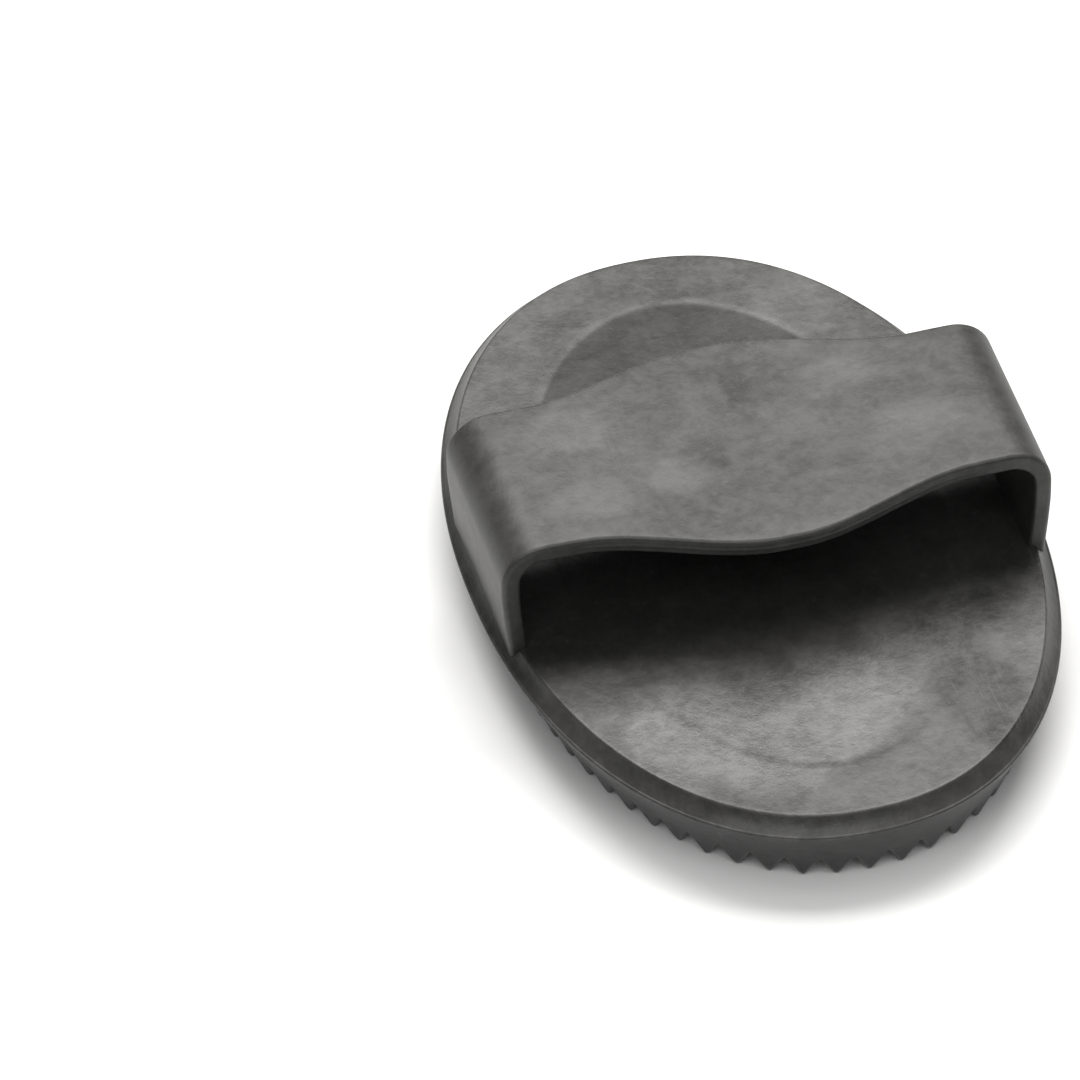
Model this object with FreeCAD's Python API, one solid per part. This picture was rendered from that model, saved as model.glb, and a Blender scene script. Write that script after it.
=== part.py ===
"""Oval rubber curry comb with a hand strap.

Frame: origin at the centre of the oval on the plane of the tooth tips, +Z up
through the back, X along the short axis (the strap spans X), Y along the long
axis. Millimetres.
"""

import FreeCAD, Part
import math
import os

Vector = FreeCAD.Vector

# Back plate
HALF_LEN = 79.5          # flat back, half of the long axis
HALF_WID = 50.1          # flat back, half of the short axis
OVAL_POWER = 2.17        # 2 is an ellipse, more is squarer
BACK_Z = 16.5            # flat back above the tooth tips
BEAD_Z = 13.0            # crest of the bead, the widest line of the comb
FLOOR_Z = 11.6           # channel floors between the tooth walls
BEAD_HALF_LEN = 82.4
BEAD_HALF_WID = 53.0
BEAD_INSET = 0.6         # from the bead's crest in to the floor level

PANEL_HALF_LEN = 66.3    # shallow sunk panel in the back
PANEL_HALF_WID = 36.8
PANEL_POWER = 2.05
PANEL_DEPTH = 0.4
PANEL_DRAFT = 1.0        # the panel's floor is this much smaller all round
PANEL_OVERRUN = 0.001    # cutter above the back

# Tooth walls: half long axis and half short axis of the crest line, teeth
OUTER_RING = (77.3, 46.8, 66)
MIDDLE_RING = (57.4, 33.3, 48)
INNER_RING = (38.6, 19.2, 32)
RING_POWER = 2.12

NOTCH_DEPTH = 4.6        # V notch between two teeth
NOTCH_FLAT = 0.5         # width of the notch at its bottom
NOTCH_OVERRUN = 1.0      # cutter beyond the tooth tips
TIP_LAND = 1.1           # length of a tooth's tip along the wall
WALL_HALF_TIP = 0.65     # half thickness of a wall at the tips
WALL_HALF_NOTCH = 2.05   # ... at the bottom of the notches
WALL_HALF_FLOOR = 3.3    # ... where it leaves the floor
FREE_REACH = 4.0         # notch cutter to each side of the crest line
RIM_REACH = 7.0          # ... on the outermost wall
RIM_BULGE = 0.3          # outermost flank beyond a straight taper, at notch depth

# Strap
STRAP_THICK = 3.4
STRAP_HALF_WIDTH = 19.7  # at the legs and shoulders
STRAP_EDGE_R = 1.2       # rounded long edges
SWELL = 8.4              # extra width on each side over the knuckles
SWELL_HALF_SPAN = 37.0
SWELL_HALF_FLAT = 2.0    # full width up to here from the middle
SWELL_STEPS = 28
LEG_FOOT_X = 50.9        # outer face where the leg leaves the back
LEG_TOP_X = 52.0         # outer face where the shoulder starts
ROOT_INNER_X = 44.0      # inner face of the block under each leg
SHOULDER_Z = 31.3        # leg ends and shoulder bend starts
SHOULDER_R = 8.0
CROWN_SAG = 1.2          # dip in the middle of the top band
CROWN_Z = SHOULDER_Z + SHOULDER_R
BLANK_HALF_WIDTH = 45.0  # top band before it is trimmed to its plan
TRIM_OVERRUN = 5.0       # trimming prism beyond the shoulders, and below them
TRIM_HEIGHT = 30.0

# Outer face of a strap leg: x, z
LEG_STATIONS = [
    (LEG_FOOT_X, BACK_Z),
    (LEG_FOOT_X + 0.6, BACK_Z + 5.5),
    (LEG_TOP_X - 0.05, BACK_Z + 10.5),
    (LEG_TOP_X, SHOULDER_Z),
]

OVAL_POINTS = 64         # points each oval curve passes through
OVAL_SAMPLES = 4000      # fine steps used to measure along an oval
TOLERANCE = 0.01         # for picking edges by their bounds


# Helpers
def signed_power(value, exponent):
    return math.copysign(abs(value) ** exponent, value)


def oval_points(half_len, half_wid, power, count):
    """Return (x, y, normal x, normal y) at equal spacing, and the perimeter.

    The first point lies on +X; the normals point outward.
    """
    samples = []
    for i in range(OVAL_SAMPLES + 1):
        angle = 2 * math.pi * i / OVAL_SAMPLES
        samples.append((half_wid * signed_power(math.cos(angle), 2 / power),
                        half_len * signed_power(math.sin(angle), 2 / power)))
    run = [0.0]
    for start, end in zip(samples, samples[1:]):
        run.append(run[-1] + math.hypot(end[0] - start[0], end[1] - start[1]))
    perimeter = run[-1]

    points = []
    j = 0
    for k in range(count):
        target = perimeter * k / count
        while run[j + 1] < target:
            j += 1
        part = (target - run[j]) / (run[j + 1] - run[j])
        x = samples[j][0] + part * (samples[j + 1][0] - samples[j][0])
        y = samples[j][1] + part * (samples[j + 1][1] - samples[j][1])
        normal_x = signed_power(x / half_wid, power - 1) / half_wid
        normal_y = signed_power(y / half_len, power - 1) / half_len
        size = math.hypot(normal_x, normal_y)
        points.append((x, y, normal_x / size, normal_y / size))
    return points, perimeter


def spline(points, periodic=False):
    curve = Part.BSplineCurve()
    curve.interpolate(points, PeriodicFlag=periodic)
    return curve.toShape()


def oval_wire(half_len, half_wid, z, power=OVAL_POWER, offset=0.0):
    """Closed oval at height z, moved out along its normals by offset."""
    points, _ = oval_points(half_len, half_wid, power, OVAL_POINTS)
    return Part.Wire([spline([Vector(x + offset * normal_x, y + offset * normal_y, z)
                              for x, y, normal_x, normal_y in points], periodic=True)])


def stack(wires):
    """Closed solid, ruled through ovals at rising heights."""
    return Part.makeLoft(wires, True, True)


def face_within(edges):
    return Part.Face(Part.Wire(Part.__sortEdges__(edges)))


def mirror_x(shape):
    return shape.mirror(Vector(0, 0, 0), Vector(1, 0, 0))


def solid_of(shape):
    """The one solid in a shape, turned right side out."""
    solids = shape.Solids
    if len(solids) != 1:
        raise RuntimeError("expected one solid, got %d" % len(solids))
    solid = solids[0]
    if solid.Volume < 0:
        solid.reverse()
    return solid


# Tooth rings
def cut_notches(wall, ring, reach, notch_on_x):
    """Cut V notches square across a wall, with a notch or a tooth on +X."""
    half_len, half_wid, teeth = ring
    # Tooth and notch centres alternate along the crest line.
    points, perimeter = oval_points(half_len, half_wid, RING_POWER, 2 * teeth)
    half_gap = perimeter / teeth / 2 - TIP_LAND / 2
    half_flat = NOTCH_FLAT / 2
    slope = (half_gap - half_flat) / NOTCH_DEPTH
    half_mouth = half_gap + slope * NOTCH_OVERRUN
    # Notch section: distance along the wall, z
    section = [(-half_mouth, -NOTCH_OVERRUN), (half_mouth, -NOTCH_OVERRUN),
               (half_flat, NOTCH_DEPTH), (-half_flat, NOTCH_DEPTH)]
    cutters = []
    for x, y, normal_x, normal_y in points[0 if notch_on_x else 1::2]:
        start_x = x - normal_x * reach
        start_y = y - normal_y * reach
        corners = [Vector(start_x - normal_y * along, start_y + normal_x * along, z)
                   for along, z in section]
        face = Part.Face(Part.makePolygon(corners + corners[:1]))
        cutters.append(face.extrude(Vector(normal_x * 2 * reach, normal_y * 2 * reach, 0)))
    return solid_of(wall.cut(Part.makeCompound(cutters)))


def tapered_oval(ring, side):
    """Solid bounded by a wall's outer (side=1) or inner (side=-1) face."""
    half_len, half_wid, _ = ring
    return stack([oval_wire(half_len, half_wid, z, RING_POWER, side * half_thick)
                  for z, half_thick in ((0, WALL_HALF_TIP),
                                        (NOTCH_DEPTH, WALL_HALF_NOTCH),
                                        (FLOOR_Z, WALL_HALF_FLOOR))])


def free_ring(ring):
    """A wall that stands on the floor, tapered on both faces."""
    wall = tapered_oval(ring, 1).cut(tapered_oval(ring, -1))
    return cut_notches(wall, ring, FREE_REACH, notch_on_x=False)


def rim_ring(ring):
    """The outermost wall: its outer face is the flank of the whole comb."""
    half_len, half_wid, _ = ring

    def at_notch(crest, bead):
        tip = crest + WALL_HALF_TIP
        return tip + (bead - tip) * NOTCH_DEPTH / BEAD_Z + RIM_BULGE

    outside = stack([
        oval_wire(half_len, half_wid, 0, RING_POWER, WALL_HALF_TIP),
        oval_wire(at_notch(half_len, BEAD_HALF_LEN), at_notch(half_wid, BEAD_HALF_WID),
                  NOTCH_DEPTH),
        oval_wire(BEAD_HALF_LEN - BEAD_INSET, BEAD_HALF_WID - BEAD_INSET, FLOOR_Z),
    ])
    wall = outside.cut(tapered_oval(ring, -1))
    return cut_notches(wall, ring, RIM_REACH, notch_on_x=True)


# Back plate
def back_plate():
    """Beaded plate with a sunk panel on top and a block under each strap leg."""
    # half long axis, half short axis, amount added to both, z
    stations = [
        (BEAD_HALF_LEN, BEAD_HALF_WID, -BEAD_INSET, FLOOR_Z),
        (BEAD_HALF_LEN, BEAD_HALF_WID, 0.0, BEAD_Z),
        (BEAD_HALF_LEN, BEAD_HALF_WID, -0.55, BEAD_Z + 0.5),
        (HALF_LEN, HALF_WID, 0.3, BACK_Z - 0.6),
        (HALF_LEN, HALF_WID, -0.5, BACK_Z),
    ]
    plate = stack([oval_wire(half_len + extra, half_wid + extra, z)
                   for half_len, half_wid, extra, z in stations])
    panel = stack([
        oval_wire(PANEL_HALF_LEN - PANEL_DRAFT, PANEL_HALF_WID - PANEL_DRAFT,
                  BACK_Z - PANEL_DEPTH, PANEL_POWER),
        oval_wire(PANEL_HALF_LEN, PANEL_HALF_WID, BACK_Z + PANEL_OVERRUN, PANEL_POWER),
    ])
    plate = plate.cut(panel)
    root = Part.makeBox(LEG_FOOT_X - ROOT_INNER_X, 2 * STRAP_HALF_WIDTH, BACK_Z - BEAD_Z)
    root.translate(Vector(ROOT_INNER_X, -STRAP_HALF_WIDTH, BEAD_Z))
    plate = plate.fuse(root).fuse(mirror_x(root))
    return solid_of(plate.removeSplitter())


# Strap
def soften(band):
    """Round the strap's long edges at both Y sides, outside and inside."""
    long_edges = []
    for edge in band.Edges:
        box = edge.BoundBox
        at_side = (box.YMax < -STRAP_HALF_WIDTH + TOLERANCE
                   or box.YMin > STRAP_HALF_WIDTH - TOLERANCE)
        across = box.XLength > 0.5 and at_side
        upright = box.ZLength > 0.5 and box.YLength < TOLERANCE
        # Short edges of the end faces, where the strap's pieces meet
        flat_end = box.ZLength < TOLERANCE and box.YLength < TOLERANCE and any(
            abs(box.ZMin - z) < TOLERANCE for z in (SHOULDER_Z, BACK_Z))
        if (across or upright) and not flat_end:
            long_edges.append(edge)
    return solid_of(band.makeFillet(STRAP_EDGE_R, long_edges))


def leg(side):
    """Slab from the back to the shoulder, bowed outward; side is the sign of x."""
    outer = [Vector(x, -STRAP_HALF_WIDTH, z) for x, z in LEG_STATIONS]
    inner = [point - Vector(STRAP_THICK, 0, 0) for point in outer]
    face = face_within([
        Part.makeLine(inner[0], outer[0]), spline(outer),
        Part.makeLine(inner[-1], outer[-1]), spline(inner),
    ])
    slab = face.extrude(Vector(0, 2 * STRAP_HALF_WIDTH, 0))
    if side < 0:
        slab = mirror_x(slab)
    return soften(slab)


def crown_plan():
    """Prism over the top band's plan: straight at the shoulders, swollen between."""
    near = []
    for i in range(SWELL_STEPS + 1):
        x = -SWELL_HALF_SPAN + 2 * SWELL_HALF_SPAN * i / SWELL_STEPS
        fade = max((abs(x) - SWELL_HALF_FLAT) / (SWELL_HALF_SPAN - SWELL_HALF_FLAT), 0.0)
        swell = SWELL * (1 - fade * fade * (3 - 2 * fade))
        near.append(Vector(x, -STRAP_HALF_WIDTH - swell, 0))
    far = [Vector(point.x, -point.y, 0) for point in near]
    end_x = LEG_TOP_X + TRIM_OVERRUN

    def line(x1, y1, x2, y2):
        return Part.makeLine(Vector(x1, y1, 0), Vector(x2, y2, 0))

    span, width = SWELL_HALF_SPAN, STRAP_HALF_WIDTH
    prism = face_within([
        line(-end_x, -width, -span, -width),
        spline(near),
        line(span, -width, end_x, -width),
        line(end_x, -width, end_x, width),
        line(end_x, width, span, width),
        spline(far),
        line(-span, width, -end_x, width),
        line(-end_x, width, -end_x, -width),
    ]).extrude(Vector(0, 0, TRIM_HEIGHT))
    prism.translate(Vector(0, 0, SHOULDER_Z - TRIM_OVERRUN))
    return prism


def crown():
    """Top band with both shoulder bends."""
    bend_x = LEG_TOP_X - SHOULDER_R
    inner_r = SHOULDER_R - STRAP_THICK

    def at(x, z):
        return Vector(x, -BLANK_HALF_WIDTH, z)

    def bend(side, radius):
        diagonal = radius * math.sqrt(0.5)
        return Part.Arc(at(side * (bend_x + radius), SHOULDER_Z),
                        at(side * (bend_x + diagonal), SHOULDER_Z + diagonal),
                        at(side * bend_x, SHOULDER_Z + radius)).toShape()

    def top(z):
        return Part.Arc(at(-bend_x, z), at(0, z - CROWN_SAG), at(bend_x, z)).toShape()

    face = face_within([
        bend(1, SHOULDER_R), top(CROWN_Z), bend(-1, SHOULDER_R),
        Part.makeLine(at(-LEG_TOP_X, SHOULDER_Z), at(-bend_x - inner_r, SHOULDER_Z)),
        bend(-1, inner_r), top(CROWN_Z - STRAP_THICK), bend(1, inner_r),
        Part.makeLine(at(bend_x + inner_r, SHOULDER_Z), at(LEG_TOP_X, SHOULDER_Z)),
    ])
    band = face.extrude(Vector(0, 2 * BLANK_HALF_WIDTH, 0))
    return soften(solid_of(band.common(crown_plan())))


PARTS = {
    "back_plate": back_plate(),
    "outer_tooth_ring": rim_ring(OUTER_RING),
    "middle_tooth_ring": free_ring(MIDDLE_RING),
    "inner_tooth_ring": free_ring(INNER_RING),
    "left_strap_leg": leg(-1),
    "right_strap_leg": leg(1),
    "strap_crown": crown(),
}

os.makedirs("parts", exist_ok=True)
for name, shape in PARTS.items():
    shape.exportStep("parts/%s.step" % name)
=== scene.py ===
"""Oval rubber pad with three rings of teeth underneath and a hand strap over its back.

The tooth tips stand on z = 0 and +Z is up. The pad's long axis runs along Y, and the
strap crosses it along X. Shapes are worked out in millimetres, and Blender gets metres.
"""
import math

import bmesh
import bpy
import numpy as np
from mathutils import Matrix, Vector


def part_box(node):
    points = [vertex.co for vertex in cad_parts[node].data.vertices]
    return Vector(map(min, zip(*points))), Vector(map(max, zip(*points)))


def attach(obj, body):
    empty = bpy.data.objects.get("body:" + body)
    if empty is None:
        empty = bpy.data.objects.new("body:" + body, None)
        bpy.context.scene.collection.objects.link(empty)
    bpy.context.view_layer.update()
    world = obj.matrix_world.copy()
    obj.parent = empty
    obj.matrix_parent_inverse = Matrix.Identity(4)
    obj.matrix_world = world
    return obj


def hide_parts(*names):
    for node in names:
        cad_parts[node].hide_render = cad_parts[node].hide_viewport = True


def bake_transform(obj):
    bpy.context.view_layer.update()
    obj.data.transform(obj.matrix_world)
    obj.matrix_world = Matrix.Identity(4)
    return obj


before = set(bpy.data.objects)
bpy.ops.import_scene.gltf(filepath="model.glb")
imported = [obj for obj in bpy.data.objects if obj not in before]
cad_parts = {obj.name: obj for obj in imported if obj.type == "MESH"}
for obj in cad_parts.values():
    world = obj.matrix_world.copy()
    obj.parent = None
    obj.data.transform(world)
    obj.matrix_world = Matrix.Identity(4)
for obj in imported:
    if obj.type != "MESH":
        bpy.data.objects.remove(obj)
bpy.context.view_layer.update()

MM = 0.001
rng = np.random.default_rng(7)

# ------------------------------------------------------------ driving dimensions
# Names ending in _HL and _HW are half lengths (along Y) and half widths (along X).
plate_lo, plate_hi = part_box("back_plate")
crown_lo, crown_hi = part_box("strap_crown")
_, leg_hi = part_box("right_strap_leg")

BACK_Z = plate_hi.z / MM
FLOOR_Z = plate_lo.z / MM       # floors of the channels between the tooth rings
BEAD_HL = 82.4                  # outermost oval of the bead around the plate
BEAD_HW = 53.0
BEAD_Z = FLOOR_Z + 1.4
BACK_INSET = 2.9                # bead to the edge of the flat back
PANEL_HL = 66.3                 # sunk panel in the back
PANEL_HW = 36.8
OVAL_POWER = 2.17               # superellipse powers
RING_POWER = 2.12
PANEL_POWER = 2.0
PANEL_RIM_POWER = 2.05

CROWN_Z = crown_hi.z / MM
SHOULDER_Z = crown_lo.z / MM
SHOULDER_R = CROWN_Z - SHOULDER_Z
LEG_TOP_X = crown_hi.x / MM
LEG_FOOT_X = 50.9
STRAP_HW = leg_hi.y / MM        # half width, here along Y
STRAP_THICK = 3.4
SWELL = crown_hi.y / MM - STRAP_HW      # the crown's extra half width
SWELL_START, SWELL_END = 2.0, 37.0      # |x| between which the swell dies out
SAG = 1.2                       # fall of the crown towards its shoulders


# ------------------------------------------------------------------------ ovals
def signed_power(values, power):
    return np.sign(values) * np.abs(values) ** power


def oval_xy(half_len, half_wid, power, angles):
    return (half_wid * signed_power(np.cos(angles), 2 / power),
            half_len * signed_power(np.sin(angles), 2 / power))


def oval_angles(half_len, half_wid, power, count, phase=0.0):
    """Angles of count equally spaced places along the oval, and its perimeter.

    The first place lies on +X, or the phase (a fraction of the perimeter) past it.
    """
    angles = np.linspace(0, 2 * np.pi, 8001)
    x, y = oval_xy(half_len, half_wid, power, angles)
    run = np.concatenate([[0], np.cumsum(np.hypot(np.diff(x), np.diff(y)))])
    fractions = (np.arange(count) / count + phase) % 1.0
    return np.interp(fractions * run[-1], run, angles), run[-1]


def oval_normal(half_len, half_wid, power, x, y):
    nx = np.sign(x) * np.abs(x / half_wid) ** (power - 1) / half_wid
    ny = np.sign(y) * np.abs(y / half_len) ** (power - 1) / half_len
    length = np.hypot(nx, ny)
    return nx / length, ny / length


def smooth(start, end, values):
    t = np.clip((values - start) / (end - start), 0, 1)
    return t * t * (3 - 2 * t)


# ----------------------------------------------------------------------- meshes
def mesh_object(name, verts, faces, material):
    mesh = bpy.data.meshes.new(name)
    mesh.from_pydata([tuple(vert) for vert in verts], [], faces)
    mesh.validate()
    mesh.update()
    for polygon in mesh.polygons:
        polygon.use_smooth = True
    mesh.materials.append(material)
    piece = bpy.data.objects.new(name, mesh)
    bpy.context.scene.collection.objects.link(piece)
    return piece


def solid_object(name, verts, faces, material):
    """A closed mesh given in mm, with all its normals pointing out."""
    piece = mesh_object(name, verts * MM, faces, material)
    bm = bmesh.new()
    bm.from_mesh(piece.data)
    bmesh.ops.recalc_face_normals(bm, faces=bm.faces)
    if bm.calc_volume(signed=True) < 0:
        bmesh.ops.reverse_faces(bm, faces=bm.faces)
    bm.to_mesh(piece.data)
    bm.free()
    piece.data.update()
    return piece


def loop_faces(rows, count, close_rows=False):
    """Quads between rows of count points, each row a closed loop."""
    i = np.arange(count)
    j = (i + 1) % count
    quads = []
    for row in range(rows if close_rows else rows - 1):
        here = row * count
        after = (row + 1) % rows * count
        quads.append(np.stack([here + i, here + j, after + j, after + i], 1))
    return np.concatenate(quads).tolist()


def capped_faces(rows, count):
    """Open-ended loops closed by fans onto two centre points that follow the rows."""
    faces = loop_faces(rows, count)
    first_centre = rows * count
    last_row = first_centre - count
    for i in range(count):
        j = (i + 1) % count
        faces.append([first_centre, j, i])
        faces.append([first_centre + 1, last_row + i, last_row + j])
    return faces


# ----------------------------------------------------------------- shader nodes
class Signal:
    """An output socket. Each arithmetic sign between signals adds one Math node."""

    def __init__(self, shader, socket):
        self.shader = shader
        self.socket = socket

    def __add__(self, other):
        return self.shader.maths("ADD", self, other)

    def __sub__(self, other):
        return self.shader.maths("SUBTRACT", self, other)

    def __rsub__(self, other):
        return self.shader.maths("SUBTRACT", other, self)

    def __mul__(self, other):
        return self.shader.maths("MULTIPLY", self, other)

    def __truediv__(self, other):
        return self.shader.maths("DIVIDE", self, other)


class Shader:
    """Adds nodes to a node tree. Inputs take either a Signal or a plain value."""

    def __init__(self, tree):
        self.tree = tree

    def feed(self, socket, value):
        if isinstance(value, Signal):
            self.tree.links.new(value.socket, socket)
        else:
            socket.default_value = value

    def add(self, kind, inputs=None, **settings):
        node = self.tree.nodes.new(kind)
        for key, value in settings.items():
            setattr(node, key, value)
        for key, value in (inputs or {}).items():
            self.feed(node.inputs[key], value)
        return node

    def out(self, node, key=0):
        return Signal(self, node.outputs[key])

    def maths(self, operation, first, second):
        return self.out(self.add("ShaderNodeMath", {0: first, 1: second}, operation=operation))

    def ramp(self, value, start, end, low=0.0, high=1.0, kind="SMOOTHSTEP"):
        """low where the value is at start, high where it is at end."""
        inputs = {"Value": value, "From Min": start, "From Max": end,
                  "To Min": low, "To Max": high}
        return self.out(self.add("ShaderNodeMapRange", inputs, interpolation_type=kind), "Result")

    def noise(self, vector, scale, detail, roughness, distortion=0.0):
        inputs = {"Vector": vector, "Scale": scale, "Detail": detail,
                  "Roughness": roughness, "Distortion": distortion}
        return self.out(self.add("ShaderNodeTexNoise", inputs), "Fac")

    def mapping(self, vector, scale, turn):
        """The vector scaled, and turned about Z by an angle in radians."""
        inputs = {"Vector": vector, "Scale": scale, "Rotation": (0, 0, turn)}
        return self.out(self.add("ShaderNodeMapping", inputs))

    def mix(self, factor, first, second):
        # sockets 0, 6 and 7 are the factor and the two colours
        node = self.add("ShaderNodeMix", {}, data_type="RGBA")
        for socket, value in ((0, factor), (6, first), (7, second)):
            self.feed(node.inputs[socket], value)
        return self.out(node, 2)


# -------------------------------------------------------------- rubber materials
def shade(colour, factor=1.0):
    return (*[channel * factor for channel in colour], 1)


def rubber(name, base, bloom, bloom_amount, up, rough, wear_and_highlight,
           panel=False, lighter=(), darker=(), scuffs=()):
    """Moulded black rubber.

    base: the rubber's colour; bloom: the grey film on faces that look up.
    up: the normal's Z where the film starts and where it is full.
    rough: least and greatest roughness; wear: how far edges are rubbed and lightened, on the teeth
    also as painted highlights on their tips.
    lighter, darker, scuffs: rows of (x, y, radius in x, radius in y, strength), in mm.
    """
    material = bpy.data.materials.new(name)
    material.use_nodes = True
    material.node_tree.nodes.clear()
    sh = Shader(material.node_tree)

    place = sh.out(sh.add("ShaderNodeTexCoord"), "Object")
    geometry = sh.add("ShaderNodeNewGeometry")
    pointiness = sh.out(geometry, "Pointiness")
    normal = sh.add("ShaderNodeSeparateXYZ", {0: sh.out(geometry, "Normal")})
    facing_up = sh.ramp(sh.out(normal, "Z"), start=up[0], end=up[1])

    # noise at four sizes: patches about 30 mm across, blotches of 3 to 5 mm,
    # blotches of 1 to 2 mm, and the skin's own grain
    big = sh.noise(place, scale=34, detail=4, roughness=0.6, distortion=0.4)
    medium = sh.noise(place, scale=210, detail=5, roughness=0.62, distortion=0.2)
    small = sh.noise(place, scale=620, detail=3, roughness=0.6)
    grain = sh.noise(place, scale=2100, detail=2, roughness=0.5)
    patches = sh.ramp(big, start=0.36, end=0.66)
    blotches = sh.ramp(medium, start=0.36, end=0.68)
    mottle = sh.ramp(small, start=0.34, end=0.70)

    if panel or lighter or darker or scuffs:
        position = sh.add("ShaderNodeSeparateXYZ", {0: place})
        pos_x = sh.out(position, "X")
        pos_y = sh.out(position, "Y")
        ragged = sh.noise(place, scale=90, detail=3, roughness=0.6) - 0.5

    def spot(x, y, radius_x, radius_y, soft=0.55):
        """A ragged oval patch, 1 inside and 0 outside."""
        dx = (pos_x - x * MM) / (radius_x * MM)
        dy = (pos_y - y * MM) / (radius_y * MM)
        reach = dx * dx + dy * dy + ragged * 2.2
        return sh.ramp(reach, start=1.0 - soft, end=1.0 + soft, low=1.0, high=0.0)

    def add_spots(total, gain, loss):
        for *oval, strength in lighter:
            total = total + spot(*oval) * (gain * strength)
        for *oval, strength in darker:
            total = total - spot(*oval) * (loss * strength)
        return total

    # film, roughness and shine are all weighted sums of the same blotches
    film = patches * 0.30 + blotches * 0.26 + mottle * 0.10 + 0.45
    film = sh.maths("MAXIMUM", add_spots(film, gain=1.0, loss=1.0), 0.0)
    roughness = sh.ramp(blotches * 0.5 + mottle * 0.25 + patches * 0.25,
                        start=0.0, end=1.0, low=rough[0], high=rough[1], kind="LINEAR")
    shine = blotches * 0.36 + mottle * 0.17 + patches * 0.26 + 0.63
    shine = add_spots(shine, gain=0.40, loss=0.45)
    shine_factor = 1.0

    if panel:
        # inside the sunk panel, less film and less shine towards +Y
        across = pos_x / 0.0367
        along = pos_y / 0.0662
        inside = sh.ramp(across * across + along * along,
                         start=0.975, end=1.02, low=1.0, high=0.0)
        dull = inside * sh.ramp(pos_y, start=-0.035, end=0.025)
        film = film * (1.0 - dull * 0.45)
        shine_factor = 1.0 - dull * 0.50
        # a painted highlight: more shine and a lighter film in a patch towards the -Y end, a little
        # to -X, where the main light's reflection falls
        painted_highlight = spot(-11, -50, 26, 18.5, soft=0.35)
        shine_factor = shine_factor + painted_highlight * 0.66
        film = film + painted_highlight * 0.18

    film = film * (facing_up * bloom_amount)
    base_colour = shade(base)
    if panel:
        # under the strap: less film, since less dust settles there, and a darker base colour, which
        # is painted shade
        under_strap_shade_and_less_dust = (sh.ramp(pos_y, start=-0.036, end=-0.022)
                       * sh.ramp(pos_y, start=0.036, end=0.022))
        film = film * (1.0 - under_strap_shade_and_less_dust * 0.85)
        base_colour = sh.mix(under_strap_shade_and_less_dust, base_colour, shade(base, 0.6))
    colour = sh.mix(film, base_colour, shade(bloom))

    # streaky scuffs, in zones
    if scuffs:
        stretched = sh.mapping(place, scale=(1.0, 0.09, 1.0), turn=0.10)
        streaks = sh.noise(stretched, scale=1150, detail=3, roughness=0.6, distortion=0.6)
        light_streaks = sh.ramp(streaks, start=0.56, end=0.68)
        dark_streaks = sh.ramp(streaks, start=0.44, end=0.34)
    for *oval, strength in scuffs:
        zone = spot(*oval, soft=0.8) * facing_up
        colour = sh.mix(zone * light_streaks * (0.40 * strength), colour, shade(bloom, 1.9))
        colour = sh.mix(zone * dark_streaks * (0.45 * strength), colour, shade(base, 0.6))
        roughness = roughness + zone * light_streaks * (0.10 * strength)

    # a few faint hairlines everywhere
    stretched = sh.mapping(place, scale=(1.0, 0.05, 1.0), turn=1.1)
    hairlines = sh.ramp(sh.noise(stretched, scale=1500, detail=2, roughness=0.5),
                        start=0.69, end=0.76)
    colour = sh.mix(hairlines * facing_up * 0.12, colour, shade(bloom, 1.7))

    # lighter convex edges: rubbed, and on the tooth tips, where the lightening is strongest, a
    # painted highlight
    edges = sh.ramp(pointiness, start=0.515, end=0.60)
    edges = edges * sh.ramp(medium, start=0.25, end=0.75, low=0.45, high=1.0) * wear_and_highlight
    colour = sh.mix(edges, colour, (0.115, 0.112, 0.106, 1))
    # darker in every crease: painted shade
    crease_shade = sh.ramp(pointiness, start=0.49, end=0.42)
    colour = sh.mix(crease_shade * 0.6, colour, shade(base, 0.5))
    # dust
    specks = sh.ramp(sh.noise(place, scale=1250, detail=1, roughness=0.4),
                     start=0.73, end=0.79)
    colour = sh.mix(specks * facing_up * 0.10, colour, (0.30, 0.29, 0.27, 1))

    # relief, finest first: height, strength, distance in metres
    relief = None
    for height, strength, distance in ((grain, 0.09, 0.0003),
                                       (small, 0.06, 0.0006),
                                       (medium, 0.10, 0.0012)):
        inputs = {"Height": height, "Strength": strength, "Distance": distance}
        if relief:
            inputs["Normal"] = relief
        relief = sh.out(sh.add("ShaderNodeBump", inputs), "Normal")

    surface = sh.add("ShaderNodeBsdfPrincipled", {
        "Base Color": colour,
        "Roughness": roughness,
        "IOR": 1.5,
        "Specular IOR Level": shine * shine_factor * 0.5,
        "Normal": relief,
    })
    sh.add("ShaderNodeOutputMaterial", {0: sh.out(surface)})
    return material


# spots and scuffs: x, y, radius in x, radius in y (mm), strength
pad_rubber = rubber(
    "pad_rubber", base=(0.020, 0.0195, 0.0188), bloom=(0.070, 0.0685, 0.065),
    bloom_amount=0.75, up=(0.30, 0.95), rough=(0.34, 0.47), wear_and_highlight=0.10, panel=True,
    lighter=((22, 58, 12, 8, 0.25), (42, -40, 6, 9, 0.2)),
    darker=((30, -33, 10, 5, 0.45), (27, -53, 8, 15, 0.55), (41, -30, 7, 12, 0.35)),
    scuffs=((27, -54, 9, 17, 0.85), (-30, 40, 8, 12, 0.40)))
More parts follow.
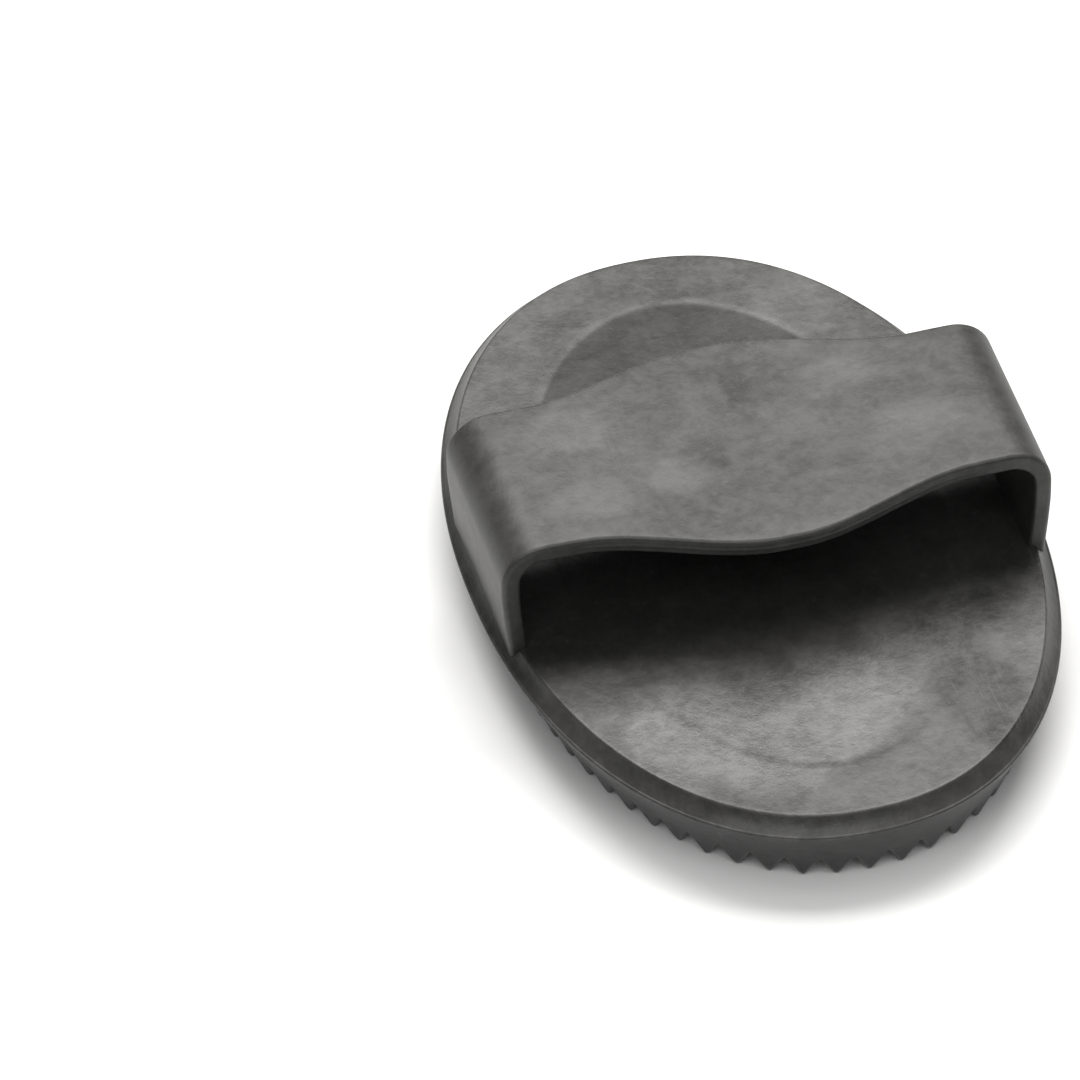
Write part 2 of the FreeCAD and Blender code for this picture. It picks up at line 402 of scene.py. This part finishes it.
# the strong edge lightening on the teeth paints the highlights on their tips
tooth_rubber = rubber(
    "tooth_rubber", base=(0.017, 0.0165, 0.016), bloom=(0.05, 0.049, 0.047),
    bloom_amount=0.45, up=(0.4, 1.0), rough=(0.34, 0.48), wear_and_highlight=0.35)
strap_rubber = rubber(
    "strap_rubber", base=(0.021, 0.0205, 0.0197), bloom=(0.068, 0.0665, 0.063),
    bloom_amount=0.75, up=(0.35, 0.95), rough=(0.42, 0.54), wear_and_highlight=0.08,
    lighter=((-32, 11, 9, 6, 0.5), (-14.5, -6, 6, 5, 0.6), (20, 12, 8, 5, 0.45),
             (-32, -9, 7, 5, 0.45), (33, -4, 9, 6, 0.3)),
    darker=((-10, -3, 6, 4, 0.30), (2, 13, 3, 8, 0.28), (12, -8, 9, 5, 0.25)),
    scuffs=((-22, 4, 9, 9, 0.45),))


# ------------------------------------------------------------------- back plate
def rim_profile():
    """(inset from the bead's outermost oval, z) from the flat back's rim to the floor's edge."""
    # rounded edge, tangent to the flat back and to the bevel
    edge_radius = 0.6
    lean = math.radians(47)
    centre_inset = BACK_INSET + edge_radius * math.tan(lean / 2)
    centre_z = BACK_Z - edge_radius
    points = [(centre_inset - edge_radius * math.sin(a), centre_z + edge_radius * math.cos(a))
              for a in np.linspace(0, lean, 8)]

    # slightly hollow bevel, down to a narrow ledge on top of the bead
    bead_radius = 0.44
    hollow = 0.14
    top_inset, top_z = points[-1]
    foot_inset = bead_radius + 0.13
    foot_z = BEAD_Z + bead_radius + 0.15
    for k in (0.12, 0.25, 0.4, 0.55, 0.7, 0.84, 0.94, 1.0):
        dip = hollow * math.sin(math.pi * k) * 0.7
        points.append((top_inset + (foot_inset - top_inset) * k + dip,
                       top_z + (foot_z - top_z) * k - dip))
    points.append((bead_radius + 0.02, BEAD_Z + bead_radius + 0.05))

    # bead, then back in under it
    for a in np.linspace(math.radians(78), math.radians(-60), 14):
        points.append((bead_radius - bead_radius * math.cos(a),
                       BEAD_Z + bead_radius * math.sin(a)))
    points.append((bead_radius + 0.10, BEAD_Z - bead_radius - 0.12))
    points.append((bead_radius + 0.5, FLOOR_Z))
    return points


def plate_rows():
    """(half length, half width, z, power) from the middle of the back to that of the underside."""
    rows = []
    step_half = 1.3                        # half width of the panel's soft step
    rim_depth, middle_depth = 0.13, 0.40   # the panel is faintly dished
    foot_hl = PANEL_HL - step_half
    foot_hw = PANEL_HW - step_half
    for k in (0.04, 0.13, 0.24, 0.36, 0.48, 0.6, 0.71, 0.81, 0.89, 0.95, 0.985):
        depth = rim_depth + (middle_depth - rim_depth) * (1 - k * k)
        rows.append((foot_hl * k, foot_hw * k, BACK_Z - depth, PANEL_POWER))
    for k in np.linspace(0, 1, 11):
        rows.append((foot_hl + 2 * step_half * k, foot_hw + 2 * step_half * k,
                     BACK_Z - rim_depth * (1 - smooth(0, 1, k)),
                     PANEL_POWER + (PANEL_RIM_POWER - PANEL_POWER) * k))

    # flat back around the panel
    rim = rim_profile()
    rim_inset = rim[0][0]
    top_hl = PANEL_HL + step_half
    top_hw = PANEL_HW + step_half
    for k in (0.05, 0.15, 0.3, 0.5, 0.7, 0.86, 0.95):
        rows.append((top_hl + (BEAD_HL - rim_inset - top_hl) * k,
                     top_hw + (BEAD_HW - rim_inset - top_hw) * k,
                     BACK_Z, PANEL_RIM_POWER + (OVAL_POWER - PANEL_RIM_POWER) * k))
    for inset, z in rim:
        rows.append((BEAD_HL - inset, BEAD_HW - inset, z, OVAL_POWER))
    # channel floors, seen from underneath
    for k in (0.985, 0.95, 0.86, 0.72, 0.55, 0.36, 0.18, 0.04):
        rows.append(((BEAD_HL - BACK_INSET) * k, (BEAD_HW - BACK_INSET) * k,
                     FLOOR_Z, OVAL_POWER))
    return rows


def build_plate():
    count = 720
    angles, _ = oval_angles(BEAD_HL, BEAD_HW, OVAL_POWER, count)
    rows = plate_rows()
    loops = []
    for half_len, half_wid, z, power in rows:
        x, y = oval_xy(half_len, half_wid, power, angles)
        loops.append(np.stack([x, y, np.full(count, z)], 1))
    verts = np.concatenate(loops)
    # a long shallow wave in the back, fading out towards the bead
    x, y, z = verts.T
    reach = np.hypot(x / BEAD_HW, y / BEAD_HL)
    fade = smooth(BACK_Z - 1.2, BACK_Z - 0.4, z) * (1 - smooth(0.9, 1.0, reach))
    verts[:, 2] += fade * (0.05 * np.sin(x / 9.0 + 0.6) * np.cos(y / 13.0)
                           + 0.04 * np.sin(y / 21.0 + 1.0) - 0.09)
    centres = [[0, 0, verts[:count, 2].mean()], [0, 0, FLOOR_Z]]
    verts = np.concatenate([verts, centres])
    return solid_object("back_plate_rubber", verts, capped_faces(len(rows), count), pad_rubber)


# ------------------------------------------------------------------ tooth rings
# rows of a wall's face, as fractions of the way from its crest to its foot
WALL_LEVELS = np.array([
    0, .0025, .01, .0225, .04, .0625, .09, .1225, .16, .2, .25, .31,
    .38, .46, .55, .65, .75, .83, .885, .925, .952, .972, .988, 1.0])


def gap_to_bead(x, y, nx, ny):
    """How far the bead stands outside each crest point, along its normal, evened out."""
    bead_x, bead_y = oval_xy(BEAD_HL, BEAD_HW, OVAL_POWER, np.linspace(0, 2 * np.pi, 6001))
    gap = np.empty(len(x))
    for i in range(len(x)):
        dx = bead_x - x[i]
        dy = bead_y - y[i]
        along = dx * nx[i] + dy * ny[i]
        off_line = np.abs(-dx * ny[i] + dy * nx[i])
        off_line[along < 0] = 1e9
        gap[i] = along[np.argmin(off_line)]
    wrapped = np.concatenate([gap[-8:], gap, gap[:8]])
    return np.convolve(wrapped, np.ones(17) / 17, "valid")


def crest_depths(from_middle, pitch, tip_radius):
    """Depth of the crest above the tip plane: rounded tips, sloping sides, rounded notches."""
    meet = 4.80                 # depth where the two slopes of a notch would meet
    apex_round = 0.30
    slope_sq = ((pitch / 2) ** 2 - 2 * tip_radius * meet) / meet ** 2
    sharp = (-tip_radius + np.sqrt(tip_radius * tip_radius
                                   + slope_sq * from_middle * from_middle)) / slope_sq
    crest = meet - np.sqrt((meet - sharp) ** 2 + apex_round * apex_round)
    tip_error = meet - math.sqrt(meet * meet + apex_round * apex_round)
    return np.maximum(crest - tip_error * (1 - np.clip(sharp / meet, 0, 1)), 0)


def build_ring(name, half_len, half_wid, teeth, per_tooth, flank=False):
    """A wall notched into rounded teeth. Depths are measured up from the tip plane.

    With flank, the outer face leans out to the bead, the long axis ends on teeth and
    the short axis on notches.
    """
    count = teeth * per_tooth
    phase = 0.5 / teeth if flank else 0.0
    angles, perimeter = oval_angles(half_len, half_wid, RING_POWER, count, phase)
    x, y = oval_xy(half_len, half_wid, RING_POWER, angles)
    nx, ny = oval_normal(half_len, half_wid, RING_POWER, x, y)
    pitch = perimeter / teeth
    place = np.arange(count) / per_tooth
    nearest = np.round(place)
    tooth = nearest.astype(int) % teeth
    from_middle = (place - nearest) * pitch
    near_middle = 1 - smooth(0.0, 1.0, np.abs(from_middle) / (pitch / 2))

    # every tooth is a little shorter and leans a little, by its own amount
    shorter = rng.uniform(0.0, 0.14, teeth)[tooth]
    lean = rng.uniform(-0.10, 0.10, teeth)[tooth]
    crest = crest_depths(from_middle, pitch, tip_radius=0.26 if flank else 0.36)
    crest = crest + shorter * near_middle
    foot = FLOOR_Z + (1.22 if flank else 0.2)
    depth = crest[None, :] + (foot - crest[None, :]) * WALL_LEVELS[:, None]

    def half_thickness(leaning):
        if leaning:
            # a parabola through the tip, a known depth, and the underside of the bead
            reach = gap_to_bead(x, y, nx, ny)[None, :] - 0.03
            at_tip, at_known, known = 0.56, 1.84, 4
            curve = (((reach - at_tip) / foot - (at_known - at_tip) / known)
                     / (foot - known))
            slope = (at_known - at_tip) / known - curve * known
            half = at_tip + slope * depth + curve * depth * depth
            crest_round = 1.5
        else:
            half = np.sqrt(0.94 * (depth + 0.35))
            crest_round = 1.35
        rise = np.clip((depth - crest[None, :]) / crest_round, 0, 1)
        half = half * np.sqrt(1 - (1 - rise) ** 2)
        if not leaning:
            fillet = 1.25       # where the wall meets the floor
            into = np.clip((depth - (FLOOR_Z - fillet)) / fillet, 0, 1)
            half = half + fillet * (1 - np.sqrt(np.clip(1 - into * into, 0, 1)))
        return half

    shift = lean * near_middle * np.exp(-depth / 2.5)
    inner_off = -half_thickness(False) + shift
    outer_off = half_thickness(flank) + shift

    def row(level, offsets):
        off = offsets[level]
        return np.stack([x + nx * off, y + ny * off, depth[level]], 1)

    levels = len(WALL_LEVELS)
    rows = [row(level, inner_off) for level in reversed(range(levels))]
    rows += [row(level, outer_off) for level in range(1, levels)]
    faces = loop_faces(len(rows), count, close_rows=True)
    return solid_object(name, np.concatenate(rows), faces, tooth_rubber)


# ------------------------------------------------------------------------ strap
def band_section(half_wid, parting):
    """Closed loop (y, depth under the outer face) with rounded corners.

    parting: how much there is of the faint line along both edges, 0 to 1.
    """
    outer_r, inner_r = 0.95, 0.55          # corner radii
    flat = STRAP_THICK - outer_r - inner_r
    # parting line: place down the edge's flat, and how far it stands out
    down = np.array([0.0, 0.22, 0.36, 0.44, 0.5, 0.56, 0.64, 0.78, 1.0])
    bump = np.array([0.0, 0.0, 0.03, 0.10, 0.14, 0.10, 0.03, 0.0, 0.0]) * parting
    turn = np.linspace(0, math.pi / 2, 9)[1:-1]
    across = np.linspace(-1, 1, 34)
    outer_hw = half_wid - outer_r
    inner_hw = half_wid - inner_r
    inner_face = STRAP_THICK - inner_r
    ys = np.concatenate([
        outer_hw * across,
        outer_hw + outer_r * np.sin(turn), half_wid + bump, inner_hw + inner_r * np.cos(turn),
        inner_hw * across[::-1],
        -inner_hw - inner_r * np.sin(turn), -(half_wid + bump), -outer_hw - outer_r * np.cos(turn)])
    depths = np.concatenate([
        np.zeros(len(across)),
        outer_r - outer_r * np.cos(turn), outer_r + flat * down, inner_face + inner_r * np.sin(turn),
        np.full(len(across), STRAP_THICK),
        inner_face + inner_r * np.cos(turn), inner_face - flat * down,
        outer_r - outer_r * np.sin(turn)])
    return ys, depths


def leg_points():
    """x and z of the right leg's outer face, foot to shoulder."""
    foot_z = BEAD_Z - 0.5
    # heights where the spacing changes, and the points counted over each span
    breaks = (foot_z, BEAD_Z + 0.7, BACK_Z + 2.6, SHOULDER_Z)
    zs = np.concatenate([np.linspace(low, high, points)[:-1]
                         for low, high, points in zip(breaks, breaks[1:], (4, 26, 12))])
    # corners of the leg's outline: z, x
    corners = np.array([
        (BEAD_Z - 1, LEG_FOOT_X - 0.4),
        (BACK_Z, LEG_FOOT_X),
        (BACK_Z + 5.5, LEG_FOOT_X + 0.6),
        (BACK_Z + 10.5, LEG_TOP_X - 0.05),
        (SHOULDER_Z, LEG_TOP_X)])
    fine_z = np.linspace(foot_z, SHOULDER_Z, 400)
    fine_x = np.interp(fine_z, corners[:, 0], corners[:, 1])
    # soften the corners, then bring the top back to its place
    kernel = np.hanning(121)
    kernel /= kernel.sum()
    padded = np.concatenate([np.full(60, fine_x[0]), fine_x, np.full(60, fine_x[-1])])
    fine_x = np.convolve(padded, kernel, "valid")
    fine_x = fine_x + (LEG_TOP_X - fine_x[-1]) * smooth(BACK_Z, SHOULDER_Z, fine_z)
    return np.interp(zs, fine_z, fine_x), zs


def strap_stations():
    """(x, z, inward normal x, normal z, half width) on the outer face, from -X to +X."""
    bend_x = LEG_TOP_X - SHOULDER_R
    right = [(x, z, -1.0, 0.0, STRAP_HW) for x, z in zip(*leg_points())]
    for a in np.linspace(0, math.pi / 2, 21)[:-1]:
        right.append((bend_x + SHOULDER_R * math.cos(a), SHOULDER_Z + SHOULDER_R * math.sin(a),
                      -math.cos(a), -math.sin(a), STRAP_HW))
    for k in np.linspace(1, 0, 52):
        x = bend_x * k
        fall = 1 - (x / bend_x) ** 2
        slope = 4 * SAG * fall * x / bend_x ** 2
        length = math.hypot(1, slope)
        swell = SWELL * (1 - smooth(SWELL_START, SWELL_END, abs(x)))
        right.append((x, CROWN_Z - SAG * fall ** 2, slope / length, -1 / length,
                      STRAP_HW + swell))
    left = [(-x, z, -nx, nz, half_wid) for x, z, nx, nz, half_wid in right[:-1]]
    return left + right[::-1]


def build_strap():
    rows = []
    for x, z, nx, nz, half_wid in strap_stations():
        ys, depths = band_section(half_wid, parting=1 - smooth(26.0, 42.0, abs(x)))
        rows.append(np.stack([x + nx * depths, ys, z + nz * depths], 1))
    verts = np.concatenate(rows)
    # slight unevenness of a soft moulding, above the legs
    x, y, z = verts.T
    fade = smooth(SHOULDER_Z, SHOULDER_Z + 5.0, z)
    verts[:, 2] += fade * (0.10 * np.sin(x / 8.5 + 0.9) * np.cos(y / 12.0 + 0.4)
                           + 0.06 * np.sin(y / 6.5 + x / 15.0) - 0.10)
    verts = np.concatenate([verts, [rows[0].mean(0), rows[-1].mean(0)]])
    faces = capped_faces(len(rows), len(rows[0]))
    return solid_object("hand_strap", verts, faces, strap_rubber)


# ----------------------------------------------------------------------- pieces
plate = build_plate()
outer = build_ring("outer_teeth", half_len=77.3, half_wid=46.8, teeth=66, per_tooth=24,
                   flank=True)
middle = build_ring("middle_teeth", half_len=57.4, half_wid=33.3, teeth=48, per_tooth=26)
inner = build_ring("inner_teeth", half_len=38.6, half_wid=19.2, teeth=32, per_tooth=28)
strap = build_strap()

for piece, node, slot in ((plate, "back_plate", "pad_rubber"),
                          (outer, "outer_tooth_ring", "tooth_rubber"),
                          (middle, "middle_tooth_ring", "tooth_rubber"),
                          (inner, "inner_tooth_ring", "tooth_rubber")):
    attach(piece, "pad")
    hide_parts(node)
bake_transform(strap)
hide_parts("left_strap_leg", "right_strap_leg", "strap_crown")


# ------------------------------------------------------------ floor and world
def floor_material():
    material = bpy.data.materials.new("floor_pale")
    material.use_nodes = True
    sh = Shader(material.node_tree)
    surface = sh.tree.nodes["Principled BSDF"]
    surface.inputs["Base Color"].default_value = (0.90, 0.90, 0.895, 1)
    surface.inputs["Roughness"].default_value = 0.85
    # see-through from underneath, so the teeth can be looked at, and to shadow rays
    geometry = sh.add("ShaderNodeNewGeometry")
    shadow_ray = sh.out(sh.add("ShaderNodeLightPath"), "Is Shadow Ray")
    hidden = sh.maths("MAXIMUM", sh.out(geometry, "Backfacing"), shadow_ray)
    # further out (metres) it fades into the studio's background
    distance = sh.add("ShaderNodeVectorMath", {0: sh.out(geometry, "Position")},
                      operation="LENGTH")
    fade = sh.ramp(sh.out(distance, "Value"), start=0.45, end=1.10)
    clear = sh.out(sh.add("ShaderNodeBsdfTransparent"))
    mixed = sh.add("ShaderNodeMixShader", {0: sh.maths("MAXIMUM", hidden, fade),
                                           1: sh.out(surface), 2: clear})
    sh.feed(sh.tree.nodes["Material Output"].inputs[0], sh.out(mixed))
    return material


reach = 9.0     # metres from the middle to each side of the floor
floor = mesh_object("floor",
                    [(-reach, -reach, 0), (reach, -reach, 0), (reach, reach, 0),
                     (-reach, reach, 0)],
                    [[0, 1, 2, 3]], floor_material())

world = bpy.data.worlds.new("studio")
world.use_nodes = True
sky = Shader(world.node_tree)
background = sky.tree.nodes["Background"]
background.inputs["Color"].default_value = (1.0, 1.0, 1.0, 1)
# low is the strength that lights the object, high the one the camera sees
camera_ray = sky.out(sky.add("ShaderNodeLightPath"), "Is Camera Ray")
sky.feed(background.inputs["Strength"],
         sky.ramp(camera_ray, start=0.0, end=1.0, low=0.10, high=0.96, kind="LINEAR"))
bpy.context.scene.world = world


# ----------------------------------------------------------------------- lights
def area(name, place, target, size, power, colour=(1, 1, 1)):
    """A rectangular light. Places and size in metres, power in watts."""
    light = bpy.data.lights.new(name, "AREA")
    light.shape = "RECTANGLE"
    light.size, light.size_y = size
    light.energy = power
    light.color = colour
    lamp = bpy.data.objects.new(name, light)
    bpy.context.scene.collection.objects.link(lamp)
    lamp.location = place
    lamp.rotation_mode = "QUATERNION"
    lamp.rotation_quaternion = (Vector(place) - Vector(target)).to_track_quat("Z", "Y")
    lamp.visible_camera = False
    return lamp


area("main_softbox", place=(0.20, 0.65, 1.18), target=(0, 0, 0.02), size=(1.35, 0.78),
     power=25.0, colour=(1.0, 0.99, 0.97))
area("overhead", place=(-0.1, -0.1, 1.7), target=(0, 0, 0), size=(1.4, 1.0), power=6.5)
area("front_fill", place=(-0.27, -1.04, 1.38), target=(0, 0, 0.01), size=(2.1, 0.85),
     power=15.0)
area("light_table", place=(0, 0, -1.3), target=(0, 0, 0), size=(1.6, 1.6), power=5.0)
under = area("underside_light", place=(0, 0, -1.1), target=(0, 0, 0), size=(2.4, 2.4),
             power=60.0)
# this one lights only the plate and the two rings inside the outer one
receivers = bpy.data.collections.new("underside_receivers")
for piece in (plate, middle, inner):
    receivers.objects.link(piece)
under.light_linking.receiver_collection = receivers

# ----------------------------------------------------------------------- camera
lens = bpy.data.cameras.new("camera")
lens.sensor_width = 36.0
lens.lens = 466.666667
lens.clip_start = 0.05
lens.clip_end = 30
camera = bpy.data.objects.new("camera", lens)
bpy.context.scene.collection.objects.link(camera)
# the view's own directions, in the scene's axes
view_right = Vector((0.96317464, -0.26839582, -0.01607139))
view_down = Vector((-0.18804662, -0.62969735, -0.75373716))
view_ahead = Vector((0.19217979, 0.72900269, -0.65697945))
camera.rotation_mode = "QUATERNION"
camera.rotation_quaternion = (
    Matrix((view_right, -view_down, -view_ahead)).transposed().to_quaternion())
camera.location = Vector((-529.926, -1860.014, 1699.828)) * MM
bpy.context.scene.camera = camera

bpy.context.scene.view_settings.view_transform = "Standard"
bpy.context.scene.view_settings.look = "None"
